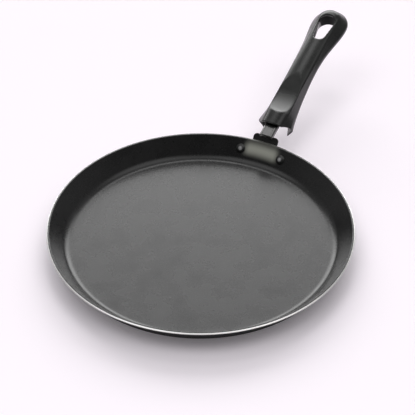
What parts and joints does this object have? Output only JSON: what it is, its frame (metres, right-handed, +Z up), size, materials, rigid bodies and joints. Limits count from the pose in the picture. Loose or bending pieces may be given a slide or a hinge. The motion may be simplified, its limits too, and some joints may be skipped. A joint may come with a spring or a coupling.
{
  "type": "crepe pan",
  "caption": "Low round pan with a flared wall, and a hooded moulded handle held by a riveted bracket, with a hanging slot at its end.",
  "frame": {"origin": "centre of the flat underside of the base", "axes": "+Y from the centre of the pan along the handle, +Z up out of the pan"},
  "size_m": [0.2586, 0.4211, 0.072],
  "materials": {
    "pan": "pressed aluminium under a dark non-stick coating, with a bare trimmed lip",
    "bracket": "pressed steel, satin black",
    "rivet": "aluminium rivets, heads coated with the pan",
    "ferrule": "satin steel sleeve",
    "grip": "moulded phenolic, satin black",
    "screw": "zinc-plated steel"
  },
  "bodies": {
    "root": {"pan_body": "pan", "handle_bracket": "bracket", "rivets": "rivet", "ferrule": "ferrule", "handle_grip": "grip", "grip_screw": "screw", "screw_washer": "screw", "tongue_nut": "screw"}
  },
  "joints": []
}
